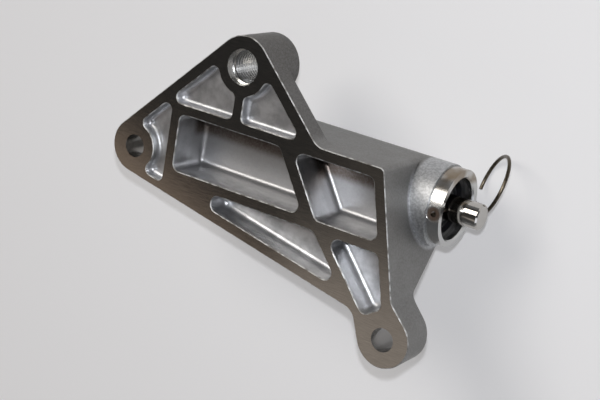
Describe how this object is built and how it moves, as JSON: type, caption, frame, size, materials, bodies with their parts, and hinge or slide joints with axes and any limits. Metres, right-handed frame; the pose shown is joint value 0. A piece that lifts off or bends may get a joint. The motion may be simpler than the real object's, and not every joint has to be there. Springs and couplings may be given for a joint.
{
  "type": "timing belt damper",
  "caption": "Ribbed cast bracket with a hydraulic damper barrel, its polished plunger held back by a wire pin with a loop.",
  "frame": {"origin": "centre of the left fixing hole on the milled front face", "axes": "+Z out of the milled face, +X along the barrel towards its mouth"},
  "size_m": [0.1412, 0.098, 0.056],
  "materials": {
    "cast_aluminium": "die cast with a milled front face and a turned mouth",
    "turned_aluminium": "turned",
    "ground_steel": "hardened and ground",
    "polished_steel": "ground and polished",
    "spring_steel": "oil tempered",
    "pin_wire": "drawn wire, slightly darkened",
    "bronze": "sintered",
    "wear_ring_plastic": "moulded nylon",
    "seal_rubber": "moulded nitrile rubber"
  },
  "bodies": {
    "housing": {"housing": "cast_aluminium", "cylinder_sleeve": "ground_steel", "return_spring": "spring_steel", "rod_guide": "turned_aluminium", "guide_bush": "bronze", "guide_o_ring": "seal_rubber", "snap_ring": "spring_steel", "oil_seal": "seal_rubber", "seal_garter_spring": "spring_steel"},
    "plunger": {"plunger_rod": "polished_steel", "piston": "ground_steel", "piston_wear_ring": "wear_ring_plastic", "check_valve_seat": "ground_steel", "check_ball": "polished_steel", "check_ball_spring": "spring_steel", "check_ball_retainer": "spring_steel"},
    "locking_pin": {"locking_pin": "pin_wire"}
  },
  "joints": [
    {"name": "plunger_slide", "type": "slide", "parent": "housing", "child": "plunger", "axis": [1, 0, 0], "range_m": [-0.0004, 0], "stiffness_N_per_m": 4000, "springref_m": 0.012},
    {"name": "pin_pull", "type": "slide", "parent": "housing", "child": "locking_pin", "axis": [0, 0, -1], "range_m": [0, 0.036]}
  ]
}
